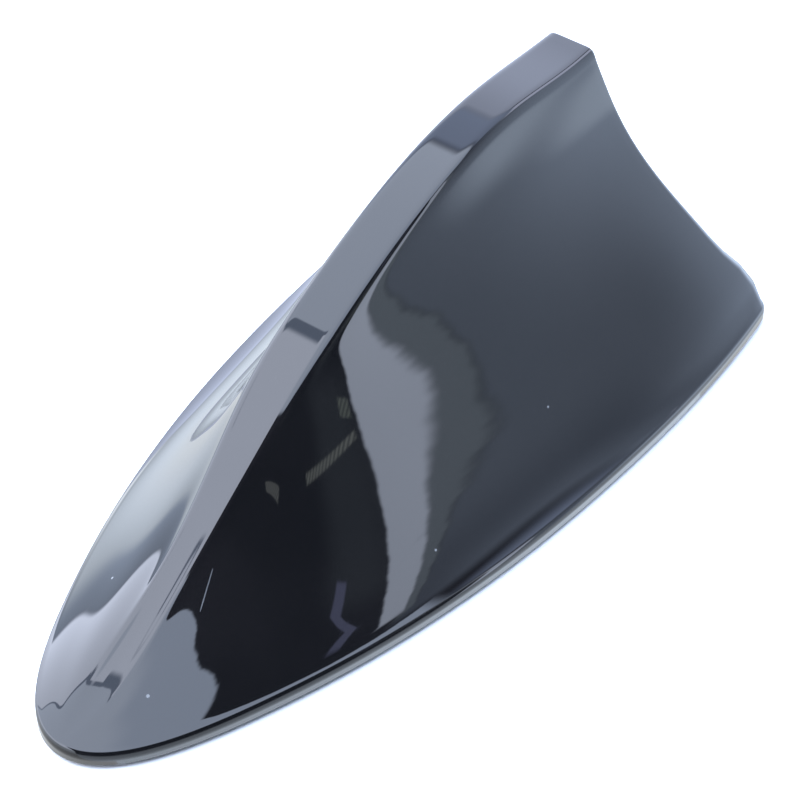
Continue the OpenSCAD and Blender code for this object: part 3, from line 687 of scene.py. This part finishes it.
feed(shader, Metallic=ring, Roughness=(0.26 + stain*0.2 + (1.0 - inside)*0.4).clamp())
feed(shader, Normal=bumped(spot, copper + ring + stain*0.2, 0.35, 0.00004))
dress(finish, "circuit_board")

# %% [markdown]
# ## Chips with tinned ends
# The amplifier, the diode and the small capacitor are moulded or fired bodies between tinned metal
# ends. Each is one solid, so the metal is a mask: all that lies further from the middle than half the
# body. One function with the body's tone, middle and half width serves all three.

# %% Bodies with metal ends
def legged(name, middle, half, body, legs):
    """A moulded body with metal past the half width from its middle, across the given axis."""
    made, shader, spot = finish_of(name, roughness=0.5)
    axis, at = middle
    away = (coordinates(spot)[axis]/MM - at).math("ABSOLUTE")
    metal, speckle = away.ramp(half - 0.02, half + 0.02), noise(spot, 2400.0, 3.0)
    feed(shader, Base_Color=metal.mix(speckle.mix(body, tuple(v*1.6 for v in body)), legs))
    feed(shader, Metallic=metal, Roughness=(0.55 - metal*0.28 + speckle*0.15).clamp())
    feed(shader, Normal=bumped(spot, speckle, 0.3, 0.00002))
    return made


along_x, along_y = 0, 1
chip_y, chip_half, chip_tone = -3.0, 2.0, (0.012, 0.012, 0.013)
diode_y, diode_half, diode_tone = -1.5, 0.7, (0.014, 0.014, 0.015)
ceramic_x, ceramic_half, ceramic_tone = board_x + 14 - cover_len/2, 0.6, (0.30, 0.21, 0.12)
tinned = (0.60, 0.60, 0.61)
dress(legged("chip_black", (along_y, chip_y), chip_half, chip_tone, tinned), "amplifier_chip")
dress(legged("diode_black", (along_y, diode_y), diode_half, diode_tone, tinned), "surge_diode")
dress(legged("ceramic", (along_x, ceramic_x), ceramic_half, ceramic_tone, tinned), "coupling_capacitor")

# %% [markdown]
# ## The round capacitor
# It is an aluminium can on a black foot, with a dark mark on one side of its top. The height parts
# can from foot, and height and place part off the mark. Rings as from a press run round the can.

# %% Capacitor can
foot_h, mark_z, mark_x = 0.9, 12.15, 21.2
can_dark, can_pale = (0.52, 0.53, 0.55), (0.66, 0.67, 0.69)
can_mark, can_foot = (0.02, 0.02, 0.022), (0.02, 0.02, 0.021)
finish, shader, spot = finish_of("capacitor_can", roughness=0.35)
x, y, z = coordinates(spot)
can = z.ramp((board_top + tape_t + foot_h - 0.02)*MM, (board_top + tape_t + foot_h + 0.02)*MM)
mark = z.ramp(mark_z*MM, (mark_z + 0.05)*MM)*falls(x, mark_x*MM, (mark_x + 0.1)*MM)
rings, wear = noise(stretched(spot, (300.0, 300.0, 9000.0)), 1.0, 2.0), noise(spot, 500.0, 3.0)
tone = mark.mix(wear.mix(can_dark, can_pale), can_mark)
feed(shader, Base_Color=can.mix(can_foot, tone), Metallic=can*(1.0 - mark))
feed(shader, Roughness=(0.28 + rings*0.2 + (1.0 - can)*0.2).clamp())
feed(shader, Normal=bumped(spot, rings + wear*0.4, 0.2, 0.00002))
dress(finish, "filter_capacitor")

# %% [markdown]
# ## Sheet metals
# The can over the chip and the top plate are tinned sheet with faint crystals, and the earth strip is
# spring bronze that has browned a little. Metals are told apart by colour and by the way their marks
# run, and sheet has lines from its rolling, so a noise is stretched along one axis.

# %% Sheet metals
def sheet_metal(name, dark, pale, brush, dullness, stain_scale):
    """Rolled sheet: brushed lines one way, soft stains, and crystals in the tinning."""
    made, shader, spot = finish_of(name, roughness=dullness, metallic=1.0)
    lines, stain = noise(stretched(spot, brush), 1.0, 3.0), noise(spot, stain_scale, 4.0)
    crystal = cells(spot, 700.0, out=1)
    grey = crystal.node("ShaderNodeRGBToBW", {}, [crystal])
    feed(shader, Base_Color=(stain*0.7 + grey*0.25).clamp().mix(dark, pale))
    feed(shader, Roughness=(dullness - 0.08 + lines*0.12 + stain*0.12).clamp())
    feed(shader, Normal=bumped(spot, lines + grey*0.3, 0.2, 0.00002))
    return made


tin_dark, tin_pale, tin_brush = (0.48, 0.49, 0.50), (0.68, 0.69, 0.70), (40.0, 4000.0, 40.0)
bronze_dark, bronze_pale, bronze_brush = (0.36, 0.23, 0.08), (0.66, 0.48, 0.20), (40.0, 5000.0, 40.0)
dress(sheet_metal("tinned_steel", tin_dark, tin_pale, tin_brush, 0.30, 260.0), "shield_can", "top_plate")
dress(sheet_metal("spring_metal", bronze_dark, bronze_pale, bronze_brush, 0.32, 320.0), "earth_strip")

# %% [markdown]
# ## Enamelled wire
# The whip coil is copper wire under a clear varnish that pools darker in places. A coat over a metal
# gives the double shine of enamel, and fine drawn lines follow the wire.

# %% Wire of the aerial coil
copper_dark, copper_pale, varnish_coat = (0.38, 0.13, 0.045), (0.60, 0.26, 0.10), 0.6
finish, shader, spot = finish_of("copper_wire", roughness=0.25, metallic=1.0)
varnish, drawn = noise(spot, 400.0, 3.0), noise(stretched(spot, (6000.0, 6000.0, 600.0)), 1.0, 2.0)
feed(shader, Base_Color=varnish.mix(copper_dark, copper_pale))
feed(shader, Roughness=(0.16 + varnish*0.2).clamp(), Normal=bumped(spot, drawn, 0.15, 0.00002))
shader.inputs["Coat Weight"].default_value = varnish_coat
dress(finish, "aerial_coil")

# %% [markdown]
# ## The tuning coil's winding
# A small drum of grey ferrite holds a few turns of thin wire. The turns are too fine to model, so a
# sine of the height with one wave a turn gives both their bump and a painted shade in the gaps between
# them.

# %% Winding of the tuning coil
winding_low, winding_high, winding_pitch = 0.7, 2.6, 0.24
ferrite_dark, ferrite_pale = (0.030, 0.029, 0.028), (0.060, 0.058, 0.055)
# The first of these coppers is the second made darker: painted shade for the gaps between the turns.
gap_shade_tone, turn_tone = (0.10, 0.03, 0.012), (0.55, 0.22, 0.08)
finish, shader, spot = finish_of("tuning_coil_winding", roughness=0.4)
height_mm = coordinates(spot)[2]/MM - (board_top + tape_t)
wound = band(height_mm, winding_low, winding_high, 0.04)
turns_of_wire = (height_mm*(2*math.pi/winding_pitch)).math("SINE")
speckle = noise(spot, 2600.0, 3.0)
ferrite = speckle.mix(ferrite_dark, ferrite_pale)
# Painted shade: the wire's colour darkens to the shaded copper in the gaps between the turns.
turns_and_gap_shade = turns_of_wire.ramp(-1.0, 0.6).mix(gap_shade_tone, turn_tone)
feed(shader, Base_Color=wound.mix(ferrite, turns_and_gap_shade), Metallic=wound*0.9)
feed(shader, Roughness=(0.62 - wound*0.34 + speckle*0.1).clamp())
feed(shader, Normal=bumped(spot, wound*turns_of_wire*0.5 + speckle*0.3, 0.5, 0.00006))
dress(finish, "tuning_coil")

# %% [markdown]
# ## Screws
# All screws are zinc plated steel, and their solids have plain shanks. A true thread would cost
# thousands of faces on each and is hardly seen, so it is a bump: a wave of height and angle together,
# which is a helix. Each screw has its own axis, so each gets its own finish from one function.

# %% Screws, each with a thread round its own axis
thread_pitch = 1.0
zinc_dark, zinc_pale = (0.40, 0.41, 0.44), (0.62, 0.62, 0.60)


def screw_finish(name, x0, y0, head_low, head_high):
    """Zinc plating; outside the head the bump is the sine of height by pitch plus angle."""
    made, shader, spot = finish_of(name, roughness=0.35, metallic=1.0)
    x, y, z = coordinates(spot)
    angle = (y/MM - y0).math("ARCTAN2", x/MM - (x0 - cover_len/2))
    thread = (z/MM*(2*math.pi/thread_pitch) + angle).math("SINE")
    head = band(z/MM - tape_t, head_low, head_high, 0.05)
    tint, worn = noise(spot, 700.0, 3.0), noise(spot, 2400.0, 3.0)
    feed(shader, Base_Color=tint.mix(zinc_dark, zinc_pale))
    feed(shader, Roughness=(0.26 + worn*0.2 + head*0.05).clamp())
    feed(shader, Normal=bumped(spot, thread*(1.0 - head) + worn*0.2, 0.6, 0.00015))
    return made


# Heads are given by their lower and upper heights; the earth strip lies under the rear board screw's
cover_head, clamp_head, clamp_x, clamp_y = (0.1, 1.75), (5.55, 7.0), 14.0, -17.0
strip_t, head_gap, head_top = 0.4, 0.05, 9.0
rear_head, front_head = (board_top + strip_t - head_gap, head_top), (board_top - head_gap, head_top)
(rear_x, rear_y), (front_x, front_y) = board_holes
cover_screws = ["rear_left", "rear_right", "front_left", "front_right"]
for name, (x0, y0) in zip(cover_screws, boss_places):
    dress(screw_finish("screw_" + name, x0, y0, *cover_head), "cover_screw_" + name)
dress(screw_finish("screw_board_rear", board_x + rear_x, rear_y, *rear_head), "board_screw_rear")
dress(screw_finish("screw_board_front", board_x + front_x, front_y, *front_head), "board_screw_front")
dress(screw_finish("screw_clamp", board_x + clamp_x, clamp_y, *clamp_head), "clamp_screw")

# %% [markdown]
# ## Camera
# The photograph looks down on the nose and the left flank from about 43 degrees, through a long
# lens. The camera's place was found by fitting the cover's outline, so it is given as an azimuth, an
# elevation and a distance from a point over the middle of the fin.

# %% Camera
azimuth, elevation, distance = math.radians(36.48), math.radians(43.44), 0.5155
aim_height, aim_right, aim_down = 20, 0.00749, 0.0011
back = Vector((math.cos(elevation)*math.cos(azimuth), math.cos(elevation)*math.sin(azimuth),
    math.sin(elevation)))
right = Vector((-math.sin(azimuth), math.cos(azimuth), 0))
up = back.cross(right)
aim = Vector((0, 0, (aim_height + tape_t)*MM)) + right*aim_right - up*aim_down
lens = bpy.data.cameras.new("camera")
lens.sensor_width, lens.lens, lens.clip_start = 36, 130.45, 0.01
camera = bpy.data.objects.new("camera", lens)
turned_to_aim = Matrix((right, up, back)).transposed().to_4x4()
camera.matrix_world = Matrix.Translation(aim + back*distance) @ turned_to_aim
bpy.context.scene.collection.objects.link(camera)
bpy.context.scene.camera = camera
print("camera at", [round(v, 3) for v in camera.location])

# %% [markdown]
# ## Floor
# The aerial stands on a pale sheet. A mirror-like cover would show that sheet in its lower flank, but
# the real one shows the room there, so the gloss doesn't see the floor: rays that it mirrors pass
# through to the light pattern below the level. The sheet lies just under the tape.

# %% Floor
floor_half, floor_z = 6.0, -0.0003
corners = [(floor_half*x, floor_half*y, floor_z) for x, y in ((-1, -1), (1, -1), (1, 1), (-1, 1))]
sheet = bpy.data.meshes.new("floor")
sheet.from_pydata(corners, [], [[0, 1, 2, 3]])
floor = bpy.data.objects.new("floor", sheet)
bpy.context.scene.collection.objects.link(floor)
floor.visible_glossy = False
floor_finish, shader, spot = finish_of("floor_paper", roughness=0.9)
shader.inputs["Base Color"].default_value = (0.80, 0.80, 0.80, 1)
shader.inputs["Specular IOR Level"].default_value = 0.0
sheet.materials.append(floor_finish)
print("floor", 2*floor_half, "m wide")

# %% [markdown]
# ## Directions of the room
# A gloss black part shows little but what it reflects, so the light is drawn as a pattern of
# directions. Lamps and panels as objects would do too, but each edge of a reflection would then have
# to be found by moving them. Here turn and height are angles in degrees. Dividing the level parts by
# the upright one turns the ceiling into a flat sheet, on which its seams are straight lines.

# %% Directions of the room
least_level, degrees = 0.02, 180/math.pi
world = bpy.data.worlds.new("studio")
bpy.context.scene.world = world
world.use_nodes = True
tree = world.node_tree
x, y, z = coordinates(Wire(tree, tree.nodes.new("ShaderNodeTexCoord").outputs["Generated"]))
height = z.math("ARCSINE")*degrees
turn = y.math("ARCTAN2", x)*degrees
level = z.math("MAXIMUM", least_level)
sheet_x, sheet_y = x/level, y/level


def wobble(value, step, shift):
    """A crooked line's offset: three sines of different lengths."""
    long = (value*step + shift).math("SINE")*0.5
    middle = (value*(2.3*step) + 1.7*shift).math("SINE")*0.3
    return long + middle + (value*(5.1*step) + 0.3*shift).math("SINE")*0.2


print("directions ready")

# %% [markdown]
# ## The ceiling
# Overhead hang pale panels with dark seams between them: one in front, one in the middle, one at the
# rear and a smaller one on the near side. The seam beside the front panel turns a corner, and on the
# part that corner is the dark line over the nose. Each panel and seam is a mask on the flat sheet.

# %% The ceiling: panels and seams
other_turn, behind = 0.0 - turn, 0.0 - sheet_y
above = height + other_turn.ramp(112.0, 120.0)*11.0 - other_turn.ramp(82.0, 92.0)*3.0
above = above.ramp(0.0, 3.0)
ragged = wobble(sheet_x, 60.0, 1.0)*0.008 + wobble(sheet_x, 260.0, 2.0)*0.004
past = (sheet_x - 0.22).math("MAXIMUM", 0.0).math("MINIMUM", 0.5)
near_edge = 0.64 + sheet_x.ramp(-0.05, 0.05)*0.05 - past*1.2 + ragged
corner = 0.25 - behind.ramp(0.85, 1.25)*0.16 - behind.ramp(1.2, 1.6)*0.3 \
    - (behind - 1.6).math("MAXIMUM", 0.0)*0.45
panel_front = (sheet_x - corner).ramp(-0.01, 0.01)*falls(sheet_y, -0.42, -0.40)*above
panel_mid = sheet_x.ramp(-0.50, -0.44)*falls(sheet_x, 0.66, 0.72) \
    *falls(sheet_y - near_edge, -0.02, 0.02)*above
panel_rear = falls(sheet_x, -0.95, -0.80)*falls(sheet_y, -0.14, -0.08)*above
panel_near = falls(sheet_x, -0.98, -0.90)*band(sheet_y, 0.08, 0.72, 0.05)*above
seam_rear = sheet_x.ramp(-1.0, -0.80)*falls(sheet_x, -0.54, -0.44)*falls(sheet_y, 0.2, 0.5)*above
seam_half = 0.009 + band(behind, 0.515, 0.80, 0.03)*sheet_x.ramp(0.25, 0.28)*0.038 \
    + behind.ramp(0.8, 0.9)*0.010
off_corner = (sheet_x - corner).math("ABSOLUTE")/seam_half
off_line = (sheet_y + 0.77).math("ABSOLUTE")
seam_front = falls(off_corner, 0.6, 1.2)*falls(sheet_y, -0.44, -0.40) \
    + falls(off_line, 0.005, 0.018)*(0.3 + sheet_x.ramp(0.50, 0.54)*0.7)*band(sheet_x, 0.30, 0.85, 0.05)
seam_front = seam_front.clamp()*above
print("ceiling ready")

# %% [markdown]
# ## What stands in the room
# Behind the camera the room is dark, with one tall light strip on the left, the edge of a curtain
# beside it and a grey wall beyond. A crooked pale line, a slanted rail and two small lamps lie further
# round. They are masks by turn and height, with their edges made crooked so that none looks ruled.

# %% Masks of the room
crooked = wobble(height, 0.9, 0.5)*0.35
strip = band(turn - crooked*0.5, 110.0, 115.2, 0.8)*band(height, -30.0, 43.0, 4.0)
curtain = band(turn - crooked*0.8, 115.2, 117.3, 0.9)*falls(height, 43.0, 50.0)
far_wall = (turn - crooked*0.6).ramp(116.9, 117.8)*falls(height, 46.0, 54.0)
bend_at = 1.0 - (height - 36.8).math("ABSOLUTE")/4.0
zigzag_at = turn - 100.8 - bend_at.math("MAXIMUM", 0.0)*3.6
zigzag = falls(zigzag_at.math("ABSOLUTE"), 0.9, 1.3)*band(height, 25.0, 40.0, 1.5)
hatch = 0.65 + (turn*7.0 + height*5.0).math("SINE")*0.35
rail = band(height + (turn - 92.2)*0.51, 11.0, 12.2, 0.5)*band(turn, 91.5, 109.0, 1.0)*hatch
small_lamp = band(height, 18.2, 21.0, 0.6)*band(turn, 70.0, 77.0, 0.8)*hatch
low_lamp = band(height, -2.2, 0.6, 0.6)*band(turn, 106.8, 109.2, 0.6)*hatch
gleam = band(turn, 98.0, 110.0, 8.0)*band(height, -5.0, 30.0, 10.0)
under_level = falls(height, -36.0, -22.0)
print("masks ready")

# %% [markdown]
# ## Tones of the room
# Each mask lays its tone over what is there already, from the dark ground to the brightest panel. All
# tones are a little blue, as daylight is. They are divided by the world's strength, which brings them
# under 1, and the strength brings them back. On the right a pale sheet takes the place of the room
# below the level, with a greyer streak in it, and it darkens the steeper it lies: a painted shadow of
# the fin on the sheet.

# %% Tones of the room
top_light = 8.0


def lit(*tone):
    """A tone of the room as a share of the brightest light."""
    return tuple(t/top_light for t in tone)


wall_tone = turn.ramp(118.0, 143.0).mix(lit(0.94, 1.15, 1.52), lit(1.93, 2.35, 3.10))
wall_tone = turn.ramp(142.0, 149.0).mix(wall_tone, lit(2.75, 3.35, 4.42))
wall_tone = turn.ramp(149.0, 158.0).mix(wall_tone, lit(4.06, 4.95, 6.53))
wall_tone = (falls(height, -15.0, -12.0)*turn.ramp(122.0, 130.0)).mix(wall_tone, lit(2.6, 3.1, 3.9))
wall_tone = (height.ramp(12.0, 34.0)*0.45).mix(wall_tone, lit(0.25, 0.33, 0.50))
mid_tone = sheet_y.ramp(-0.1, 0.2).mix(lit(4.9, 5.6, 7.0), lit(4.0, 4.7, 6.1))
room = gleam.mix(lit(0.07, 0.10, 0.15), lit(0.24, 0.30, 0.38))
for mask, tone in ((zigzag, lit(0.9, 1.0, 1.7)), (rail, lit(1.6, 1.75, 1.7)),
        (small_lamp, lit(1.5, 1.6, 1.6)), (low_lamp, lit(1.2, 1.4, 1.3)),
        (far_wall, wall_tone), (curtain, lit(1.2, 1.45, 1.75)), (strip, lit(4.2, 4.7, 5.8)),
        (under_level, lit(1.30, 1.48, 1.72)), (seam_rear, lit(2.1, 2.6, 3.8)),
        (panel_rear, lit(3.1, 3.5, 4.6)), (panel_near, lit(4.9, 5.3, 6.9)), (panel_mid, mid_tone),
        (panel_front, lit(6.3, 6.9, 8.4)), (seam_front, lit(1.5, 1.9, 2.7))):
    room = mask.mix(room, tone)
# The pale sheet below the level, darker the steeper it lies: a painted shadow of the fin on it.
paper_and_fin_shadow = height.ramp(-42.0, -12.0).mix(lit(0.90, 0.95, 1.00), lit(2.30, 2.60, 3.00))
paper_and_fin_shadow = (height.ramp(-6.0, 1.0)*falls(turn, -113.0, -107.0)).mix(paper_and_fin_shadow, lit(6.0, 6.5, 7.2))
streak = band(turn, -106.0, -84.0, 5.0)*height.ramp(-14.0, -8.0)
paper_and_fin_shadow = streak.mix(paper_and_fin_shadow, lit(1.45, 1.75, 2.3))
room = (falls(turn, -1.0, 1.0)*(1.0 - above)).mix(room, paper_and_fin_shadow)
glow = tree.nodes["Background"]
tree.links.new(room.socket, glow.inputs["Color"])
glow.inputs["Strength"].default_value = top_light
bpy.context.scene.view_settings.view_transform = "Standard"
print("studio:", len(tree.nodes), "nodes")
